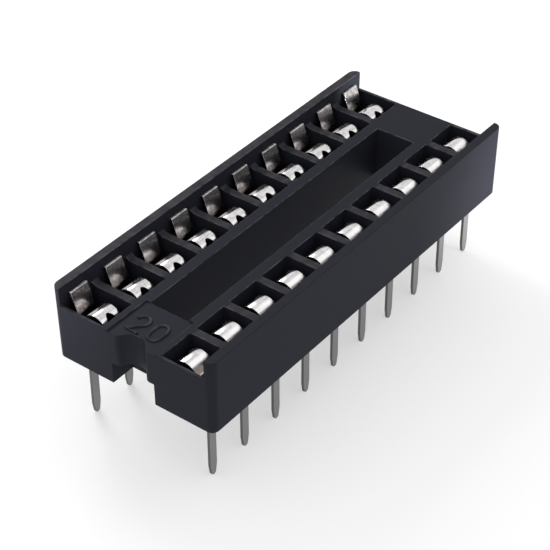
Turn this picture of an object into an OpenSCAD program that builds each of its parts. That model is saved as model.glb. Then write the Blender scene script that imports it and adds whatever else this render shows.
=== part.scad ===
// Dual-row IC socket with dual-wipe stamped contacts, for through-hole boards.
// Origin: centre of the pin grid on the underside of the housing, where the board lies.
// +X runs from the notched end to the plain end, +Z points up to the chip.

/* [Pin grid] */

// Contacts in each row
pins_per_row = 10; // [4:1:20]
// Distance between neighbouring contacts of a row
pitch = 2.54; // [2.3:0.01:3]

/* [Housing] */

// How much shorter the housing is than its row of pitches, so that sockets stand end to end
stack_relief = 0.08; // [0:0.01:0.2]
// Width over the tops of the two long side walls
body_width = 10; // [8.9:0.02:18]
// Height of the long ridges above the board
body_height = 4.33; // [4.1:0.01:5]
// Height of the deck that the chip lies on
deck_height = 3.27; // [3:0.01:3.5]
// Thickness of the floor under the wells
floor_thickness = 0.75; // [0.5:0.05:0.9]
// Thickness of the long side walls at the top
side_wall = 0.52; // [0.36:0.02:0.8]
// How far each outer wall leans in from its top to its foot, so that the moulding leaves its mould
wall_draft = 0.055; // [0:0.005:0.1]
// Distance from the inside of a long side wall to the line of the chip legs and the tails
leg_inset = 0.67; // [0.6:0.01:0.9]
// Thickness of the ribs between the wells
rib = 0.46; // [0.36:0.02:0.7]
// Thickness of the wall between the wells and the centre slot
inner_wall = 0.65; // [0.5:0.01:0.8]
// Length of each bridge that joins the two blocks
bridge_length = 2.96; // [2.6:0.02:3.6]
// Plan radius of the four outer corners at the top
corner_radius = 0.46; // [0.2:0.02:0.48]
// How far a gusset reaches from the side wall along its rib
gusset_reach = 0.3; // [0.1:0.02:0.5]
// How far a gusset climbs the side wall above the deck
gusset_rise = 0.14; // [0.1:0.02:0.6]

/* [Notched end] */

// Radius of the round notch that marks contact 1
notch_radius = 0.88; // [0.7:0.01:1]
// Depth of the notch into the end face
notch_depth = 0.64; // [0.3:0.01:0.9]
// Plan radius where the notch meets the end face
notch_lip_radius = 0.28; // [0.1:0.02:0.4]
// Depth of the marking field sunk into the near bridge
field_depth = 0.1; // [0.05:0.01:0.2]
// Width of the marking field
field_width = 2.96; // [2.6:0.02:3.2]
// Width of the cut below each bridge
undercut_width = 2.64; // [2:0.02:3]
// Height of the cut below each bridge
undercut_height = 1.28; // [0.6:0.02:1.6]
// How far the cut runs in from the end face
undercut_length = 1.5; // [1:0.05:1.8]

/* [Contacts] */

// Thickness of the contact sheet
sheet = 0.16; // [0.12:0.01:0.2]
// Width of the blade, the base and the inner leaf
contact_width = 1.21; // [0.9:0.01:1.4]
// Narrowest gap between the two leaves, where a chip leg is gripped
grip_gap = 0.16; // [0.08:0.01:0.24]
// Height of the outer blade's top above the deck
blade_rise = 0.54; // [0.3:0.02:0.7]
// Depth of the outer blade's grip line below the deck
blade_grip_depth = 0.66; // [0.5:0.02:0.9]
// Gap between the outer blade's top and the side wall
blade_clearance = 0.02; // [0.01:0.01:0.06]
// Distance from the leg line to the outer foot of the contact's base
foot_outer = 0.4; // [0.3:0.02:0.5]
// Distance from the leg line to the inner foot of the contact's base
foot_inner = 0.56; // [0.4:0.02:0.8]
// Bend radius of the two base folds, along the middle of the sheet
fold_radius = 0.24; // [0.16:0.02:0.3]
// Bend radius of the two grip lines, along the middle of the sheet
grip_radius = 0.4; // [0.3:0.05:0.5]
// Distance from the leg line to the axis of the inner leaf's arch
arch_setback = 0.97; // [0.9:0.01:1.2]
// Gap between the arch and the wall beside the centre slot
arch_clearance = 0.26; // [0.2:0.01:0.6]
// Radius of the arch, along the middle of the sheet
arch_radius = 0.66; // [0.5:0.01:0.7]
// Depth of the arch's top below the deck
arch_depth = 0.21; // [0.1:0.01:0.4]
// Slope at which the arch runs down to its grip line
arch_slope = 50; // [45:1:55]
// How far the arch's free end turns past level
arch_tuck = 20; // [0:1:30]
// Width of the round-ended cut in the arch's free end
cut_width = 0.5; // [0.3:0.02:0.7]
// Depth of the cut's round end below the arch's top
cut_depth = 0.05; // [0.03:0.01:0.2]

/* [Tails] */

// Length of a tail below the housing
tail_length = 4; // [2.5:0.05:4.5]
// Width of a tail along the row
tail_width = 0.5; // [0.4:0.01:0.6]
// Length of the taper above a tail's tip
tip_taper = 0.65; // [0.4:0.05:1]
// Radius of a tail's rounded tip
tip_radius = 0.17; // [0.1:0.01:0.19]
// Gap around a tail in its floor slot
tail_clearance = 0.03; // [0.01:0.01:0.06]

/* [Hidden] */

$fn = 64;
bend_step = 9;
overcut = 0.5;
contact_count = 2 * pins_per_row;
body_length = pins_per_row * pitch - stack_relief;
slot_length = body_length - 2 * bridge_length;
half_sheet = sheet / 2;

// Distances of the +Y row from the centre line
wall_face = body_width / 2 - side_wall;
leg_line = wall_face - leg_inset;
arch_line = leg_line - arch_setback;
arch_reach = arch_radius + half_sheet;
well_start = arch_line - arch_reach - arch_clearance;
well_length = pitch - rib;
slot_width = 2 * (well_start - inner_wall);

// Points of the bent sheet, along its middle, as [distance from the centre line, height]
base_height = floor_thickness + half_sheet;
arch_axis = [arch_line, deck_height - arch_depth - arch_reach];
arch_start = arch_axis + arch_radius * [sin(arch_slope), cos(arch_slope)];
inner_grip_y = leg_line - grip_gap / 2 - half_sheet;
inner_grip = [inner_grip_y, arch_start[1] - (inner_grip_y - arch_start[0]) * tan(arch_slope)];
outer_grip = [leg_line + grip_gap / 2 + half_sheet, deck_height - blade_grip_depth];
blade_top = [wall_face - blade_clearance - half_sheet, deck_height + blade_rise];
outer_foot = [leg_line + foot_outer, base_height];
inner_foot = [leg_line - foot_inner, base_height];

function two_digits(k) = str(k < 10 ? "0" : "", k);
function contact_name(k) = str("contact_", two_digits(k));
function contact_x(k) = (min(k, contact_count + 1 - k) - (pins_per_row + 1) / 2) * pitch;
function row_x(i) = (i - (pins_per_row + 1) / 2) * pitch;
function unit(v) = v / norm(v);

// Points on an arc about an axis, from one angle to another
function arc(axis, radius, from, to) =
    let (steps = ceil(abs(to - from) / bend_step))
    [for (s = [0 : steps]) let (a = from + (to - from) * s / steps) axis + radius * [cos(a), sin(a)]];

// Points on the bend that takes a line from a to b to c round the corner at b
function bend(a, b, c, radius) =
    let (
        before = unit(b - a),
        after = unit(c - b),
        side = sign(cross(before, after)),
        turn = acos(before * after),
        inward = side * [-before[1], before[0]],
        axis = b - radius * tan(turn / 2) * before + radius * inward,
        from = atan2(-inward[1], -inward[0])
    )
    arc(axis, radius, from, from + side * turn);

// Unit vector to the left of a line of points at point i
function left_of(line, i) =
    let (ahead = unit(line[min(i + 1, len(line) - 1)] - line[max(i - 1, 0)]))
    [-ahead[1], ahead[0]];

// Closed outline of a sheet around its middle line
function sheet_outline(line) =
    let (last = len(line) - 1)
    concat(
        [for (i = [0 : last]) line[i] + half_sheet * left_of(line, i)],
        [for (i = [last : -1 : 0]) line[i] - half_sheet * left_of(line, i)]
    );

// Both rows of whatever is drawn for the +Y row
module both_rows() {
    children();
    mirror([0, 1, 0]) children();
}

// A cross-section of the outer walls over their height, widest at the top
module drafted_section(width) {
    half = width / 2;
    polygon([
        [half - wall_draft, 0], [half, body_height], [-half, body_height], [wall_draft - half, 0]
    ]);
}

// The solid block of the housing, with round corners and leaning walls
module block() {
    corner = [body_length / 2 - corner_radius, body_width / 2 - corner_radius];
    along_row(2 * corner[0]) drafted_section(body_width);
    rotate([90, 0, 0]) linear_extrude(2 * corner[1], center = true) drafted_section(body_length);
    for (sx = [-1, 1], sy = [-1, 1])
        translate([sx * corner[0], sy * corner[1], 0])
            cylinder(body_height, corner_radius - wall_draft, corner_radius);
}

// A cross-section of the rows, drawn as [across, up], pulled along X
module along_row(width) {
    rotate([90, 0, 90]) linear_extrude(width, center = true) children();
}

// The round end notch in plan, with rounded lips where it meets the end face along Y
module notch_plan() {
    axis = notch_depth - notch_radius;
    reach = notch_radius + notch_lip_radius;
    lip_y = sqrt(reach * reach - (notch_lip_radius - axis) * (notch_lip_radius - axis));
    translate([axis, 0]) circle(notch_radius);
    difference() {
        polygon([
            [-overcut, lip_y], [notch_lip_radius, lip_y], [axis, 0],
            [notch_lip_radius, -lip_y], [-overcut, -lip_y]
        ]);
        for (side = [-1, 1]) translate([notch_lip_radius, side * lip_y]) circle(notch_lip_radius);
    }
}

// One well with the floor slot for its tail, in the +Y row
module well() {
    translate([-well_length / 2, well_start, floor_thickness])
        cube([well_length, wall_face - well_start, body_height]);
    translate([0, leg_line, floor_thickness / 2])
        cube([tail_width + 2 * tail_clearance, sheet + 2 * tail_clearance,
              floor_thickness + 2 * overcut], center = true);
}

// One gusset between a rib and the long side wall, in the +Y row
module gusset() {
    along_row(rib) polygon([
        [wall_face, deck_height],
        [wall_face - gusset_reach, deck_height],
        [wall_face, deck_height + gusset_rise]
    ]);
}

module housing() {
    color("#26262b") {
        difference() {
            block();
            // Deck between the two ridges, open at both ends
            translate([0, 0, deck_height + body_height / 2])
                cube([body_length + 2 * overcut, 2 * wall_face, body_height], center = true);
            both_rows() for (i = [1 : pins_per_row]) translate([row_x(i), 0, 0]) well();
            // Slot down the middle, right through
            translate([0, 0, body_height / 2])
                cube([slot_length, slot_width, body_height + 2 * overcut], center = true);
            // Round notch, leaning with the end face, and sunk marking field on the near bridge
            translate([wall_draft - body_length / 2, 0, 0]) rotate([0, -atan(wall_draft / body_height), 0])
                translate([0, 0, -overcut]) linear_extrude(body_height + 2 * overcut) notch_plan();
            translate([-body_length / 2 - overcut, -field_width / 2, deck_height - field_depth])
                cube([bridge_length + overcut, field_width, body_height]);
            // Cuts below the two bridges
            for (side = [-1, 1])
                translate([side * body_length / 2, 0, undercut_height / 2 - overcut / 2])
                    cube([2 * undercut_length, undercut_width, undercut_height + overcut], center = true);
        }
        both_rows() for (i = [1 : pins_per_row - 1])
            translate([row_x(i) + pitch / 2, 0, 0]) gusset();
    }
}

// The bent sheet of one contact, for the +Y row: blade, base and arched inner leaf
module contact_sheet() {
    middle_line = concat(
        [blade_top],
        bend(blade_top, outer_grip, outer_foot, grip_radius),
        bend(outer_grip, outer_foot, inner_foot, fold_radius),
        bend(outer_foot, inner_foot, inner_grip, fold_radius),
        bend(inner_foot, inner_grip, arch_start, grip_radius),
        arc(arch_axis, arch_radius, 90 - arch_slope, 180 + arch_tuck)
    );
    along_row(contact_width) polygon(sheet_outline(middle_line));
}

// The round-ended cut through the free side of the arch, for the +Y row
module arch_cut() {
    cut_radius = cut_width / 2;
    cut_axis = deck_height - arch_depth - cut_depth - cut_radius;
    reach = arch_radius + sheet;
    translate([0, arch_axis[0], 0]) rotate([90, 0, 0]) linear_extrude(reach) {
        translate([0, cut_axis]) circle(cut_radius);
        translate([-cut_radius, cut_axis - reach]) square([cut_width, reach]);
    }
}

// One solder tail, standing on its rounded tip, for the +Y row
module tail() {
    tip = -tail_length;
    translate([0, leg_line + half_sheet, 0]) rotate([90, 0, 0]) linear_extrude(sheet) {
        translate([-tail_width / 2, tip + tip_taper])
            square([tail_width, base_height - tip - tip_taper]);
        polygon([
            [-tail_width / 2, tip + tip_taper], [tail_width / 2, tip + tip_taper],
            [tip_radius, tip + tip_radius], [-tip_radius, tip + tip_radius]
        ]);
        translate([0, tip + tip_radius]) circle(tip_radius);
    }
}

// Contact k: the first half of the numbers is the -Y row, the second half comes back along +Y
module contact(k) {
    color("#c9c8c4")
        translate([contact_x(k), 0, 0]) mirror([0, k > pins_per_row ? 0 : 1, 0]) {
            difference() {
                contact_sheet();
                arch_cut();
            }
            tail();
        }
}

housing();
for (k = [1 : contact_count])
    contact(k);
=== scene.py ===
"""Looks of a dual-row IC socket: a black moulded housing, tin-plated contacts and raised numerals.

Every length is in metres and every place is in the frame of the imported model: +X runs along the
rows from the notched end to the plain end, and +Z points up to the chip.
"""

from __future__ import annotations

import logging
import math
from dataclasses import dataclass
from enum import Enum
from typing import Mapping, Optional, Sequence, Union

import bmesh
import bpy
from mathutils import Matrix, Vector
from mathutils.bvhtree import BVHTree

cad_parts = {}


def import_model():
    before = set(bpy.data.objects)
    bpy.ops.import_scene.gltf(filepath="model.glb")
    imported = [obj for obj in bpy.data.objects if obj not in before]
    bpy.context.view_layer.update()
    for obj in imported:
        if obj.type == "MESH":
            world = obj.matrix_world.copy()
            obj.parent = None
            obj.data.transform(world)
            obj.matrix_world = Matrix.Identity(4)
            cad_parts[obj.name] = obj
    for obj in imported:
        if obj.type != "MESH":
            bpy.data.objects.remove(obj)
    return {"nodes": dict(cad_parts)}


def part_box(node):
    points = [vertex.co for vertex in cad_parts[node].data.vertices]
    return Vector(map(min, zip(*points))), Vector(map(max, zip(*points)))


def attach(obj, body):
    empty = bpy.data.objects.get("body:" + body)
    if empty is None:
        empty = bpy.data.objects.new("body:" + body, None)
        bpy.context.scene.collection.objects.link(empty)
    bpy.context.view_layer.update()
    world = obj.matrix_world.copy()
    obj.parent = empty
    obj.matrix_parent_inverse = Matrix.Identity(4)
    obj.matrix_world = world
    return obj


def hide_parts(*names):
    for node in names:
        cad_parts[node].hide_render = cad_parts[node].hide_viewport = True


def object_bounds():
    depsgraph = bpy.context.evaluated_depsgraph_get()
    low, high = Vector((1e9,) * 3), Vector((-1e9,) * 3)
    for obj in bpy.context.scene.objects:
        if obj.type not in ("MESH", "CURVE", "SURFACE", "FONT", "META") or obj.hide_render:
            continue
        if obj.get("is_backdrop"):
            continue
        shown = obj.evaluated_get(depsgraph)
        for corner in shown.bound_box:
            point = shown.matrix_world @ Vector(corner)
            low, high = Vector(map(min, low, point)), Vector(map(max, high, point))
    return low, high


LOG = logging.getLogger("ic_socket")
MM = 0.001
ROOT = "root"
EDGE_LAYER = "rounded_edge"
CREASE = math.radians(80.0)
NOISE_MEAN = 0.5

Colour = tuple[float, float, float]
Point = tuple[float, float, float]
# A start and an end; where a mask is made from a span, they give 0 and 1
Span = tuple[float, float]
Key = Union[str, int]
Feed = Union["Wire", float, Sequence[float]]


class Wire:
    """One output of a shader node, with operators that add the nodes of an expression."""

    def __init__(self, graph: "Graph", socket: bpy.types.NodeSocket) -> None:
        """Keeps the socket and the graph that it belongs to.

        Args:
            graph: The material's nodes.
            socket: The output socket that this wire starts from.
        """
        self.graph = graph
        self.socket = socket

    def _joined(self, operation: str, first: Feed, second: Feed) -> "Wire":
        """Joins two feeds, by Vector Math where this wire carries a vector and by Math elsewhere.

        Args:
            operation: The operation's name, such as ADD or MULTIPLY.
            first: The left side of the expression.
            second: The right side of the expression.

        Returns:
            The wire that carries the result.
        """
        kind = "ShaderNodeVectorMath" if self.socket.type == "VECTOR" else "ShaderNodeMath"
        return self.graph.node(kind, {"operation": operation}, {0: first, 1: second})

    def __add__(self, other: Feed) -> "Wire":
        """Adds a feed to this wire."""
        return self._joined("ADD", self, other)

    def __radd__(self, other: Feed) -> "Wire":
        """Adds this wire to a feed."""
        return self._joined("ADD", other, self)

    def __sub__(self, other: Feed) -> "Wire":
        """Takes a feed from this wire."""
        return self._joined("SUBTRACT", self, other)

    def __rsub__(self, other: Feed) -> "Wire":
        """Takes this wire from a feed."""
        return self._joined("SUBTRACT", other, self)

    def __mul__(self, other: Feed) -> "Wire":
        """Multiplies this wire by a feed."""
        return self._joined("MULTIPLY", self, other)

    def __rmul__(self, other: Feed) -> "Wire":
        """Multiplies a feed by this wire."""
        return self._joined("MULTIPLY", other, self)

    def __abs__(self) -> "Wire":
        """Drops the sign of this wire's value."""
        return self.graph.node("ShaderNodeMath", {"operation": "ABSOLUTE"}, {0: self})

    def band(self, low: float, high: float) -> "Wire":
        """Runs smoothly from 0 at one value of this wire to 1 at another.

        Args:
            low: The value that gives 0.
            high: The value that gives 1, which may be the smaller of the two.

        Returns:
            The wire that carries the share from 0 to 1.
        """
        settings = {"interpolation_type": "SMOOTHSTEP", "clamp": True}
        sockets = {"Value": self, "From Min": low, "From Max": high}
        return self.graph.node("ShaderNodeMapRange", settings, sockets)

    def lifted(self, least: float) -> "Wire":
        """Squeezes a share from 0 to 1 so that it starts at the least value instead of 0."""
        return least + (1.0 - least) * self

    def mixed(self, share: float, other: "Wire") -> "Wire":
        """Takes a share of this wire's value and the rest from another wire's."""
        return share * self + (1.0 - share) * other


class Graph:
    """The shader nodes of one material."""

    def __init__(self, name: str) -> None:
        """Makes a material that has no surface yet.

        Args:
            name: The material's name.
        """
        self.material = bpy.data.materials.new(name)
        self.material.use_nodes = True
        self.tree = self.material.node_tree
        self.tree.nodes.remove(self.tree.nodes["Principled BSDF"])

    def node(
        self,
        kind: str,
        settings: Optional[Mapping[str, object]] = None,
        sockets: Optional[Mapping[Key, Feed]] = None,
        output: Key = 0,
    ) -> Wire:
        """Adds one node.

        Args:
            kind: The node's type.
            settings: Its properties, which are set before its sockets.
            sockets: The value or wire of each input, by name, identifier or place.
            output: The output to return, by name, identifier or place.

        Returns:
            The wire that starts from that output.
        """
        made = self.tree.nodes.new(kind)
        for key, value in (settings or {}).items():
            setattr(made, key, value)
        for key, feed in (sockets or {}).items():
            target = self._socket(made.inputs, key)
            if isinstance(feed, Wire):
                self.tree.links.new(feed.socket, target)
            elif target.type == "RGBA":
                target.default_value = (*feed, 1.0)
            else:
                target.default_value = feed
        return Wire(self, self._socket(made.outputs, output))

    @staticmethod
    def _socket(sockets: bpy.types.bpy_prop_collection, key: Key) -> bpy.types.NodeSocket:
        """Finds one of a node's sockets.

        Args:
            sockets: The node's inputs or outputs.
            key: The socket's place, identifier or name.

        Returns:
            The socket.
        """
        if isinstance(key, int):
            return sockets[key]
        return next((s for s in sockets if s.identifier == key), None) or sockets[key]

    def place(self) -> Wire:
        """Gives the point on the object, in metres."""
        return self.node("ShaderNodeTexCoord", output="Object")

    def facing(self) -> Wire:
        """Gives the direction that the bare face looks in."""
        return self.node("ShaderNodeNewGeometry", output="True Normal")

    def along(self, vector: Wire, axis: str) -> Wire:
        """Gives one part of a vector, by its axis X, Y or Z."""
        return self.node("ShaderNodeSeparateXYZ", {}, {"Vector": vector}, axis)

    def noise(self, place: Wire, size: float, detail: float = 2.0) -> Wire:
        """Gives a soft noise from 0 to 1.

        Args:
            place: The point to read it at.
            size: The width of its grains, in the units of the point.
            detail: How many finer layers it has.

        Returns:
            The wire that carries the noise.
        """
        sockets = {"Vector": place, "Scale": 1.0 / size, "Detail": detail}
        return self.node("ShaderNodeTexNoise", {}, sockets, "Fac")

    def blend(self, share: Feed, first: Feed, second: Feed) -> Wire:
        """Mixes two colours.

        Args:
            share: 0 for the first colour, 1 for the second.
            first: The first colour.
            second: The second colour.

        Returns:
            The wire that carries the mixed colour.
        """
        sockets = {"Factor_Float": share, "A_Color": first, "B_Color": second}
        return self.node("ShaderNodeMix", {"data_type": "RGBA"}, sockets, "Result_Color")

    def bump(self, height: Wire, depth: float, strength: float) -> Wire:
        """Turns a height from 0 to 1 into a bent normal.

        Args:
            height: The height.
            depth: How deep the full height is.
            strength: How strongly it shows.

        Returns:
            The wire that carries the normal.
        """
        sockets = {"Height": height, "Distance": depth, "Strength": strength}
        return self.node("ShaderNodeBump", {}, sockets)

    def surface(self, sockets: Mapping[Key, Feed]) -> bpy.types.Material:
        """Closes the material with its one surface shader.

        Args:
            sockets: The value or wire of each input of the shader.

        Returns:
            The finished material.
        """
        shader = self.node("ShaderNodeBsdfPrincipled", {}, sockets)
        self.tree.links.new(shader.socket, self.tree.nodes["Material Output"].inputs["Surface"])
        return self.material


@dataclass(frozen=True)
class MouldedPlastic:
    """Black thermoplastic with a fine grain, a faint flow mottle, scuffed ribs and pale edges that
    are partly wear and partly a painted highlight.

    The front ridge is spared from scuffs and from the pale edges of wear and painted highlight, and
    the notched end from those pale edges.
    """

    name: str = "black_moulded_plastic"
    # The fine grain and the wide mottle
    grain_size: float = 0.05 * MM
    grain_depth: float = 0.004 * MM
    grain_strength: float = 0.35
    mottle_size: float = 1.1 * MM
    mottle_detail: float = 4.0
    # The body's two colours, and the grain's share beside the mottle in mixing them
    deep: Colour = (0.0122, 0.0128, 0.0177)
    pale: Colour = (0.0197, 0.0205, 0.0280)
    colour_grain: float = 0.5
    # Pale rounded edges, partly wear and partly a painted highlight that stands in for light caught
    # by the rounding
    edge_wear_and_highlight_colour: Colour = (0.1600, 0.1610, 0.1720)
    edge_wear_and_highlight_share: float = 0.42
    wear_size: float = 0.45 * MM
    wear_detail: float = 3.0
    wear_span: Span = (0.3, 0.7)
    # Scuffs on the upward faces of the ribs and ridges
    scuff: Colour = (0.0395, 0.0386, 0.0428)
    scuff_least: float = 0.3
    scuff_upward: Span = (0.6, 0.9)
    rib_side: Span = (1.9 * MM, 2.1 * MM)
    # Where the scuffs and the pale edges of wear and painted highlight are mostly left off
    spared_share: float = 0.95
    front_ridge: Span = (-4.2 * MM, -4.4 * MM)
    notched_end: Span = (-11.9 * MM, -12.1 * MM)
    # The gloss, and the grain's share beside the mottle in its spread
    roughness: float = 0.45
    roughness_spread: float = 0.16
    roughness_grain: float = 0.4
    specular: float = 0.045
    sheen_tint: Colour = (0.78, 0.84, 1.0)

    def material(self) -> bpy.types.Material:
        """Builds the finish.

        Returns:
            The material for the housing and its numerals.
        """
        graph = Graph(self.name)
        place = graph.place()
        across = graph.along(place, "Y")
        grain = graph.noise(place, self.grain_size)
        mottle = graph.noise(place, self.mottle_size, self.mottle_detail)
        wear = graph.noise(place, self.wear_size, self.wear_detail).band(*self.wear_span)
        edge = graph.node("ShaderNodeAttribute", {"attribute_name": EDGE_LAYER}, output="Fac")

        off_ridge = 1 - self.spared_share * across.band(*self.front_ridge)
        off_end = 1 - self.spared_share * graph.along(place, "X").band(*self.notched_end)
        upward = graph.along(graph.facing(), "Z").band(*self.scuff_upward)
        tops = abs(across).band(*self.rib_side) * off_ridge * upward
        # Pale convex edges: partly wear, partly a painted highlight, broken up by the wear noise and
        # kept off the front ridge and the notched end
        edge_wear_and_highlight = self.edge_wear_and_highlight_share * edge * wear * off_ridge * off_end

        body = graph.blend(grain.mixed(self.colour_grain, mottle), self.deep, self.pale)
        body = graph.blend(tops * wear.lifted(self.scuff_least), body, self.scuff)
        spread = grain.mixed(self.roughness_grain, mottle) - NOISE_MEAN
        return graph.surface(
            {
                "Base Color": graph.blend(edge_wear_and_highlight, body, self.edge_wear_and_highlight_colour),
                "Roughness": self.roughness + self.roughness_spread * spread,
                "Specular IOR Level": self.specular,
                "Specular Tint": self.sheen_tint,
                "Normal": graph.bump(grain, self.grain_depth, self.grain_strength),
            }
        )


@dataclass(frozen=True)
class TinPlate:
    """Bright tin on stamped strip, with a painted grey reflection on the arch tops, painted shade on
    the outer slopes, darker painted-shade tin on the blotched blades, painted shade on faces turned
    along the row, and duller tails.

    The parts of a contact are told apart by how far out from the middle and how high they lie.
    """

    name: str = "bright_tin_plate"
    # Colours from the arch out to the blade and down to the tail
    bright: Colour = (0.97, 0.96, 0.96)
    dull: Colour = (0.76, 0.73, 0.73)
    dull_share: float = 0.5
    # A grey band on the arch tops, a painted reflection of darker surroundings
    painted_crown_reflection: Colour = (0.54, 0.52, 0.525)
    crown_least: float = 0.6
    # Darker tin on the outer slopes of the arch, a painted shade
    painted_steep_shade: Colour = (0.37, 0.343, 0.333)
    # The blade's tin is a darker copy of the arch's bright tin, a painted shade that also dims what
    # it reflects; the blotches are random
    blade: Colour = (0.64, 0.61, 0.60)
    blotched: Colour = (0.40, 0.375, 0.37)
    # Painted shade on the blade's faces turned along the row
    painted_blade_side_shade: Colour = (0.26, 0.245, 0.24)
    tail: Colour = (0.240, 0.238, 0.245)
    # Painted shade on the tail's faces turned along the row
    painted_tail_side_shade: Colour = (0.120, 0.119, 0.122)
    # Blotches, and streaks that run along the row
    blotch_size: float = 0.22 * MM
    blotch_detail: float = 4.0
    blotch_span: Span = (0.4, 0.6)
    streak_across: float = 0.10 * MM
    streak_along: float = 1.2 * MM
    streak_detail: float = 3.0
    # Dull patches and fine relief, each with the streaks' share beside the blotches
    patch_streak: float = 0.5
    patch_span: Span = (0.4, 0.65)
    relief_streak: float = 0.6
    relief_depth: float = 0.002 * MM
    relief_strength: float = 0.16
    # Roughness, with the blotches' share beside the streaks in its spread and what each part adds
    roughness: float = 0.10
    roughness_spread: float = 0.16
    roughness_blotch: float = 0.7
    slope_roughness: float = 0.08
    blade_roughness: float = 0.02
    sheared_roughness: float = 0.45
    tail_roughness: float = 0.24
    # Where each part starts or ends, outward from the middle
    crown_start: Span = (2.35 * MM, 2.5 * MM)
    crown_end: Span = (2.95 * MM, 3.1 * MM)
    steep_start: Span = (3.2 * MM, 3.4 * MM)
    blade_start: Span = (3.6 * MM, 3.7 * MM)
    # The heights of the tail and of the sheared top edge
    tail_start: Span = (0.2 * MM, -0.4 * MM)
    sheared_height: Span = (3.4 * MM, 3.5 * MM)
    # How squarely a face looks up, or along the row
    sheared_upward: Span = (0.6, 0.85)
    sideways_span: Span = (0.75, 0.95)

    def material(self) -> bpy.types.Material:
        """Builds the finish.

        Returns:
            The material for the contacts.
        """
        graph = Graph(self.name)
        place = graph.place()
        height = graph.along(place, "Z")
        outward = abs(graph.along(place, "Y"))
        facing = graph.facing()
        stretch = (self.streak_across / self.streak_along, 1.0, 1.0)
        streak = graph.noise(place * stretch, self.streak_across, self.streak_detail)
        blotch = graph.noise(place, self.blotch_size, self.blotch_detail)
        patches = streak.mixed(self.patch_streak, blotch).band(*self.patch_span)

        past_crown = outward.band(*self.crown_end)
        painted_crown_reflection = outward.band(*self.crown_start) * (1 - past_crown)
        blade = outward.band(*self.blade_start)
        slope = past_crown * (1 - blade)
        tail = height.band(*self.tail_start)
        sideways = abs(graph.along(facing, "X")).band(*self.sideways_span)
        upward = graph.along(facing, "Z").band(*self.sheared_upward)
        sheared = height.band(*self.sheared_height) * upward

        face = graph.blend(self.dull_share * patches, self.bright, self.dull)
        # Painted grey reflection band across the arch tops, broken up by the patches
        face = graph.blend(painted_crown_reflection * patches.lifted(self.crown_least), face, self.painted_crown_reflection)
        # Painted shade on the outer slopes of the arch
        face = graph.blend(outward.band(*self.steep_start), face, self.painted_steep_shade)
        # Darker painted-shade tin on the blade, with random blotches
        plate = graph.blend(blotch.band(*self.blotch_span), self.blade, self.blotched)
        # Painted shade on blade faces turned along the row
        face = graph.blend(blade, face, graph.blend(sideways, plate, self.painted_blade_side_shade))
        # Duller tails, with painted shade on their faces turned along the row
        face = graph.blend(tail, face, graph.blend(sideways, self.tail, self.painted_tail_side_shade))
        satin = self.roughness + self.roughness_spread * blotch.mixed(self.roughness_blotch, streak)
        relief = streak.mixed(self.relief_streak, blotch)
        return graph.surface(
            {
                "Base Color": face,
                "Metallic": 1.0,
                "Roughness": satin
                + self.blade_roughness * blade
                + self.slope_roughness * slope
                + self.sheared_roughness * sheared
                + self.tail_roughness * tail,
                "Normal": graph.bump(relief, self.relief_depth, self.relief_strength),
            }
        )


@dataclass(frozen=True)
class PaleBoard:
    """Matt off-white light table with a barely seen mottle."""

    name: str = "pale_board"
    light: Colour = (0.49, 0.49, 0.49)
    dark: Colour = (0.47, 0.47, 0.47)
    mottle_size: float = 20.0 * MM
    roughness: float = 0.8
    glow_colour: Colour = (1.0, 1.0, 1.0)
    glow: float = 0.47

    def material(self) -> bpy.types.Material:
        """Builds the finish.

        Returns:
            The material for the floor.
        """
        graph = Graph(self.name)
        mottle = graph.noise(graph.place(), self.mottle_size)
        return graph.surface(
            {
                "Base Color": graph.blend(mottle, self.light, self.dark),
                "Roughness": self.roughness,
                "Emission Color": self.glow_colour,
                "Emission Strength": self.glow,
            }
        )


@dataclass(frozen=True)
class EdgeRounding:
    """The small radius that moulding or stamping leaves on the edges of a piece.

    An edge is rounded when it bends by more than the sharp angle and less than the knife angle.
    The highest edges, no further below the top than a share of the lead-in, are rounded by it first.
    """

    radius: float
    lead_in: float = 0.0
    crest_share: float = 0.1
    segments: int = 2
    profile: float = 0.5
    weld: float = 0.0005 * MM
    flat_angle: float = math.radians(0.5)
    sharp_angle: float = math.radians(35.0)
    knife_angle: float = math.radians(130.0)

    def rounded_copy(self, source: bpy.types.Object, name: str) -> bpy.types.Object:
        """Copies a CAD node with its sharp edges rounded.

        Args:
            source: The CAD node.
            name: The new piece's name.

        Returns:
            The new piece, whose rounded outer edges are marked in a face layer.
        """
        shape = bmesh.new()
        shape.from_mesh(source.data)
        bmesh.ops.remove_doubles(shape, verts=shape.verts, dist=self.weld)
        bmesh.ops.dissolve_limit(
            shape, angle_limit=self.flat_angle, verts=shape.verts, edges=shape.edges
        )
        edge_layer = shape.faces.layers.float.new(EDGE_LAYER)
        if self.lead_in:
            top = max(v.co.z for v in shape.verts) - self.crest_share * self.lead_in
            crest = [e for e in shape.edges if all(v.co.z > top for v in e.verts)]
            self._bevel(shape, crest, self.lead_in)
        sharp = [
            e for e in shape.edges if self.sharp_angle < e.calc_face_angle(0.0) < self.knife_angle
        ]
        rounded = self._bevel(shape, sharp, self.radius)
        shape.normal_update()
        for face in rounded:
            bend = sum(e.calc_face_angle_signed(0.0) * e.calc_length() for e in face.edges)
            face[edge_layer] = 1.0 if bend > 0 else 0.0
        return finished_piece(shape, name)

    def _bevel(
        self, shape: bmesh.types.BMesh, edges: Sequence[bmesh.types.BMEdge], radius: float
    ) -> list[bmesh.types.BMFace]:
        """Rounds some edges of a shape.

        Args:
            shape: The shape.
            edges: The edges to round.
            radius: How far the rounding reaches on each side of an edge.

        Returns:
            The rounded faces.
        """
        return bmesh.ops.bevel(
            shape,
            geom=edges,
            offset=radius,
            offset_type="OFFSET",
            segments=self.segments,
            profile=self.profile,
            affect="EDGES",
        )["faces"]


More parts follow.
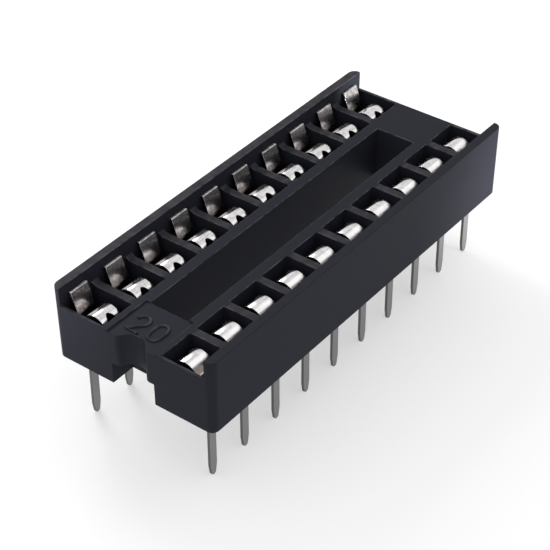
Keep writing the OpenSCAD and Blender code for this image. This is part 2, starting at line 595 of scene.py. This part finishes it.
def finished_piece(shape: bmesh.types.BMesh, name: str) -> bpy.types.Object:
    """Turns a shape into a piece that rides on the socket, shaded smooth up to its creases.

    Args:
        shape: The finished shape, which is freed.
        name: The piece's name.

    Returns:
        The new object.
    """
    mesh = bpy.data.meshes.new(name)
    for face in shape.faces:
        face.smooth = True
    for edge in shape.edges:
        edge.smooth = edge.calc_face_angle(0.0) < CREASE
    shape.to_mesh(mesh)
    shape.free()
    piece = bpy.data.objects.new(name, mesh)
    bpy.context.scene.collection.objects.link(piece)
    normals = piece.modifiers.new("even_normals", "WEIGHTED_NORMAL")
    normals.keep_sharp = True
    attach(piece, ROOT)
    return piece


@dataclass
class Housing:
    """The black moulding that holds every contact."""

    node: str = "housing"
    edges: EdgeRounding = EdgeRounding(radius=0.035 * MM)
    finish: MouldedPlastic = MouldedPlastic()

    def build(self, nodes: Mapping[str, bpy.types.Object]) -> bpy.types.Object:
        """Builds the housing with rounded edges in place of its CAD node.

        Args:
            nodes: The CAD nodes by name.

        Returns:
            The new piece.
        """
        piece = self.edges.rounded_copy(nodes[self.node], f"moulded_{self.node}")
        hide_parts(self.node)
        return piece

    def dress(self, piece: bpy.types.Object) -> bpy.types.Material:
        """Gives the housing its plastic.

        Args:
            piece: The housing.

        Returns:
            The material, which the numerals share.
        """
        plastic = self.finish.material()
        piece.data.materials.append(plastic)
        return plastic


class RowSide(Enum):
    """The two rows of contacts, by the first number in each."""

    FRONT = 1
    BACK = 11


@dataclass
class ContactRow:
    """One row of stamped contacts."""

    side: RowSide
    count: int = 10
    edges: EdgeRounding = EdgeRounding(radius=0.012 * MM, lead_in=0.06 * MM)

    def build(self, nodes: Mapping[str, bpy.types.Object]) -> list[bpy.types.Object]:
        """Builds the row's contacts with softened stamped edges in place of their CAD nodes.

        Args:
            nodes: The CAD nodes by name.

        Returns:
            The new pieces in order of their numbers.
        """
        pieces = []
        for number in range(self.side.value, self.side.value + self.count):
            node = f"contact_{number:02d}"
            piece = self.edges.rounded_copy(nodes[node], f"stamped_{node}")
            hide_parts(node)
            pieces.append(piece)
        return pieces

    @staticmethod
    def dress(pieces: Sequence[bpy.types.Object], plating: bpy.types.Material) -> None:
        """Gives every contact of the row its plating.

        Args:
            pieces: The contacts.
            plating: The material.
        """
        for piece in pieces:
            piece.data.materials.append(plating)


class Digit(Enum):
    """The numerals on the marking field."""

    TWO = "two"
    ZERO = "zero"


@dataclass
class Numerals:
    """The raised pin count on the sunk field beside the notch, read from the notched end.

    Each stroke is a bead that starts a little below the field, and a share of its width along the
    top takes the pale edge colour as wear.
    """

    height: float = 1.25 * MM
    width: float = 0.71 * MM
    stroke: float = 0.22 * MM
    rise: float = 0.085 * MM
    sink: float = 0.02 * MM
    spacing: float = 1.165 * MM
    from_end: float = 1.40 * MM
    reading_turn: float = math.radians(-90.0)
    bowl_start: float = math.radians(175.0)
    bowl_end: float = math.radians(-35.0)
    oval_fullness: float = 0.8
    crest_share: float = 0.5
    crest_wear: float = 0.45
    path_steps: int = 40
    across_steps: int = 8
    weld: float = 0.00022 * MM

    def centre_line(self, digit: Digit) -> list[Vector]:
        """Draws the middle of a numeral's stroke, with x to its right and y to its top.

        Args:
            digit: The numeral.

        Returns:
            The points in order; a closed stroke ends where it starts.
        """
        half_w = self.width / 2
        half_h = self.height / 2
        steps = [step / self.path_steps for step in range(self.path_steps + 1)]
        if digit is Digit.ZERO:
            return [self._on_oval(2 * math.pi * step) for step in steps]
        bowl = Vector((0, half_h - half_w, 0))
        points = []
        for step in steps:
            angle = self.bowl_start + (self.bowl_end - self.bowl_start) * step
            points.append(bowl + half_w * Vector((math.cos(angle), math.sin(angle), 0)))
        return [*points, Vector((-half_w, -half_h, 0)), Vector((half_w, -half_h, 0))]

    def _on_oval(self, angle: float) -> Vector:
        """Finds a point on an oval that is a little fuller than an ellipse.

        Args:
            angle: The turn from the oval's right.

        Returns:
            The point.
        """
        across = math.cos(angle)
        up = math.sin(angle)
        x = math.copysign(abs(across) ** self.oval_fullness, across) * self.width / 2
        y = math.copysign(abs(up) ** self.oval_fullness, up) * self.height / 2
        return Vector((x, y, 0))

    def bead(self, digit: Digit, name: str, placing: Matrix) -> bpy.types.Object:
        """Builds one numeral as a closed rounded bead along its stroke.

        Args:
            digit: The numeral.
            name: The piece's name.
            placing: Takes the numeral's own plane to its place on the field.

        Returns:
            The new piece.
        """
        line = self.centre_line(digit)
        closed = (line[0] - line[-1]).length < self.weld
        shape = bmesh.new()
        edge_layer = shape.faces.layers.float.new(EDGE_LAYER)
        rings = []
        last = len(line) - 1
        for index, point in enumerate(line):
            before = line[last - 1] if closed and index == 0 else line[max(index - 1, 0)]
            after = line[1] if closed and index == last else line[min(index + 1, last)]
            side = (after - before).normalized().cross(Vector((0, 0, 1)))
            rings.append(self._ring(shape, point, side, placing))
        middle = (self.across_steps - 1) / 2
        crest_reach = self.crest_share * self.across_steps / 2
        for first, second in zip(rings, rings[1:]):
            corners = (first, first[1:] + first[:1], second[1:] + second[:1], second)
            for strip, points in enumerate(zip(*corners)):
                face = shape.faces.new(points)
                face[edge_layer] = self.crest_wear if abs(strip - middle) < crest_reach else 0.0
        if not closed:
            shape.faces.new(rings[0][::-1])
            shape.faces.new(rings[-1])
        bmesh.ops.remove_doubles(shape, verts=shape.verts, dist=self.weld)
        bmesh.ops.recalc_face_normals(shape, faces=shape.faces)
        return finished_piece(shape, name)

    def _ring(
        self, shape: bmesh.types.BMesh, point: Vector, side: Vector, placing: Matrix
    ) -> list[bmesh.types.BMVert]:
        """Adds the bead's cross-section at one point of the stroke.

        Args:
            shape: The shape that takes the points.
            point: The middle of the stroke.
            side: The direction across the stroke.
            placing: Takes the numeral's own plane to its place on the field.

        Returns:
            The new points from one side to the other.
        """
        ring = []
        for step in range(self.across_steps + 1):
            angle = math.pi * step / self.across_steps
            lift = Vector((0, 0, (self.rise + self.sink) * math.sin(angle) - self.sink))
            across = side * (self.stroke / 2) * math.cos(angle)
            ring.append(shape.verts.new(placing @ (point + across + lift)))
        return ring

    def build(self, housing: bpy.types.Object) -> list[bpy.types.Object]:
        """Builds both numerals on the field, which is found by a ray straight down.

        Args:
            housing: The CAD node of the housing.

        Returns:
            The new pieces.
        """
        low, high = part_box(housing.name)
        points = [v.co for v in housing.data.vertices]
        faces = [p.vertices for p in housing.data.polygons]
        surface = BVHTree.FromPolygons(points, faces)
        turned = Matrix.Rotation(self.reading_turn, 4, "Z")
        pieces = []
        for digit, side in ((Digit.TWO, 1), (Digit.ZERO, -1)):
            above = Vector((low.x + self.from_end, side * self.spacing / 2, high.z))
            field = surface.ray_cast(above, Vector((0, 0, -1)))[0]
            placing = Matrix.Translation(field) @ turned
            piece = self.bead(digit, f"raised_numeral_{digit.value}", placing)
            pieces.append(piece)
        return pieces

    @staticmethod
    def dress(pieces: Sequence[bpy.types.Object], plastic: bpy.types.Material) -> None:
        """Gives both numerals the housing's plastic.

        Args:
            pieces: The numerals.
            plastic: The material.
        """
        for piece in pieces:
            piece.data.materials.append(plastic)


@dataclass(frozen=True)
class Softbox:
    """One soft square lamp aimed at the socket, with a grid that can keep its beam narrow."""

    name: str
    place: Point
    aim: Point
    size: float
    power: float
    beam: float = math.radians(180.0)

    def build(self) -> bpy.types.Object:
        """Hangs the lamp.

        Returns:
            The lamp.
        """
        data = bpy.data.lights.new(self.name, "AREA")
        data.shape = "SQUARE"
        data.size = self.size
        data.energy = self.power
        data.spread = self.beam
        lamp = bpy.data.objects.new(self.name, data)
        lamp.location = self.place
        lamp.rotation_mode = "QUATERNION"
        lamp.rotation_quaternion = (Vector(self.aim) - lamp.location).to_track_quat("-Z", "Y")
        bpy.context.scene.collection.objects.link(lamp)
        return lamp


@dataclass
class Studio:
    """The pale floor, the soft lamps and the plain bright room around them."""

    floor_half: float = 2.0
    room_colour: Colour = (1.0, 1.0, 1.0)
    room_strength: float = 1.02
    lamps: tuple[Softbox, ...] = (
        Softbox(
            name="back_softbox",
            place=(22.0 * MM, 60.0 * MM, 50.0 * MM),
            aim=(0.0, 0.0, 0.0),
            size=30.0 * MM,
            power=0.026,
        ),
        Softbox(
            name="side_softbox",
            place=(26.0 * MM, -60.0 * MM, 2.0 * MM),
            aim=(15.0 * MM, -5.0 * MM, 1.0 * MM),
            size=6.0 * MM,
            power=0.00115,
            beam=math.radians(17.0),
        ),
        Softbox(
            name="end_softbox",
            place=(-70.0 * MM, 12.0 * MM, 2.0 * MM),
            aim=(-12.66 * MM, 7.0 * MM, 4.0 * MM),
            size=6.0 * MM,
            power=0.00026,
            beam=math.radians(12.0),
        ),
    )
    board: PaleBoard = PaleBoard()

    def build(self, level: float) -> None:
        """Builds the studio around the socket.

        Args:
            level: The height of the floor, at the tips of the tails.
        """
        bpy.context.scene.view_settings.view_transform = "Standard"
        self._floor(level)
        self._room()
        for lamp in self.lamps:
            lamp.build()

    def _floor(self, level: float) -> None:
        """Lays the floor.

        Args:
            level: The height of the floor.
        """
        corners = [
            (x * self.floor_half, y * self.floor_half, level)
            for x, y in ((-1, -1), (1, -1), (1, 1), (-1, 1))
        ]
        mesh = bpy.data.meshes.new("pale_floor")
        mesh.from_pydata(corners, [], [(0, 1, 2, 3)])
        mesh.materials.append(self.board.material())
        floor = bpy.data.objects.new("pale_floor", mesh)
        bpy.context.scene.collection.objects.link(floor)
        floor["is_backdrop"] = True

    def _room(self) -> None:
        """Fills the room with even light."""
        world = bpy.data.worlds.new("bright_room")
        world.use_nodes = True
        background = world.node_tree.nodes["Background"]
        background.inputs["Color"].default_value = (*self.room_colour, 1.0)
        background.inputs["Strength"].default_value = self.room_strength
        bpy.context.scene.world = world


@dataclass(frozen=True)
class PhotoCamera:
    """The camera at the photograph's view; its lens and sensor are in millimetres."""

    place: Point = (-57.775 * MM, -43.176 * MM, 55.021 * MM)
    turn: float = math.radians(-52.576)
    tilt: float = math.radians(37.593)
    roll: float = math.radians(-0.32)
    lens: float = 112.06
    sensor: float = 36.0
    clip: Span = (1.0 * MM, 10.0)

    def build(self) -> bpy.types.Object:
        """Sets the camera up and makes it the scene's own.

        Returns:
            The camera.
        """
        data = bpy.data.cameras.new("photo_camera")
        data.lens = self.lens
        data.sensor_width = self.sensor
        data.clip_start, data.clip_end = self.clip
        camera = bpy.data.objects.new("photo_camera", data)
        ahead = Vector((-math.sin(self.turn), math.cos(self.turn), 0.0))
        right = Vector((math.cos(self.turn), math.sin(self.turn), 0.0))
        back = Vector((0.0, 0.0, math.sin(self.tilt))) - math.cos(self.tilt) * ahead
        level = Matrix((right, back.cross(right), back)).transposed().to_4x4()
        rolled = level @ Matrix.Rotation(self.roll, 4, "Z")
        camera.matrix_world = Matrix.Translation(self.place) @ rolled
        bpy.context.scene.collection.objects.link(camera)
        bpy.context.scene.camera = camera
        return camera


def report(pieces: Sequence[bpy.types.Object]) -> None:
    """Logs the name of each piece and the number of its faces."""
    for piece in pieces:
        LOG.info("%s: %d faces", piece.name, len(piece.data.polygons))


def main() -> None:
    """Builds the socket's pieces in order, then the studio and the camera around them."""
    logging.basicConfig(level=logging.INFO, format="%(name)s: %(message)s")
    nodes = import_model()["nodes"]
    cad_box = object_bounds()

    housing = Housing()
    body = housing.build(nodes)
    plastic = housing.dress(body)
    report([body])

    plating = TinPlate().material()
    for side in RowSide:
        row = ContactRow(side)
        contacts = row.build(nodes)
        row.dress(contacts, plating)
        report(contacts)

    numerals = Numerals()
    digits = numerals.build(nodes[housing.node])
    numerals.dress(digits, plastic)
    report(digits)

    Studio().build(cad_box[0].z)
    PhotoCamera().build()


if __name__ == "__main__":
    main()
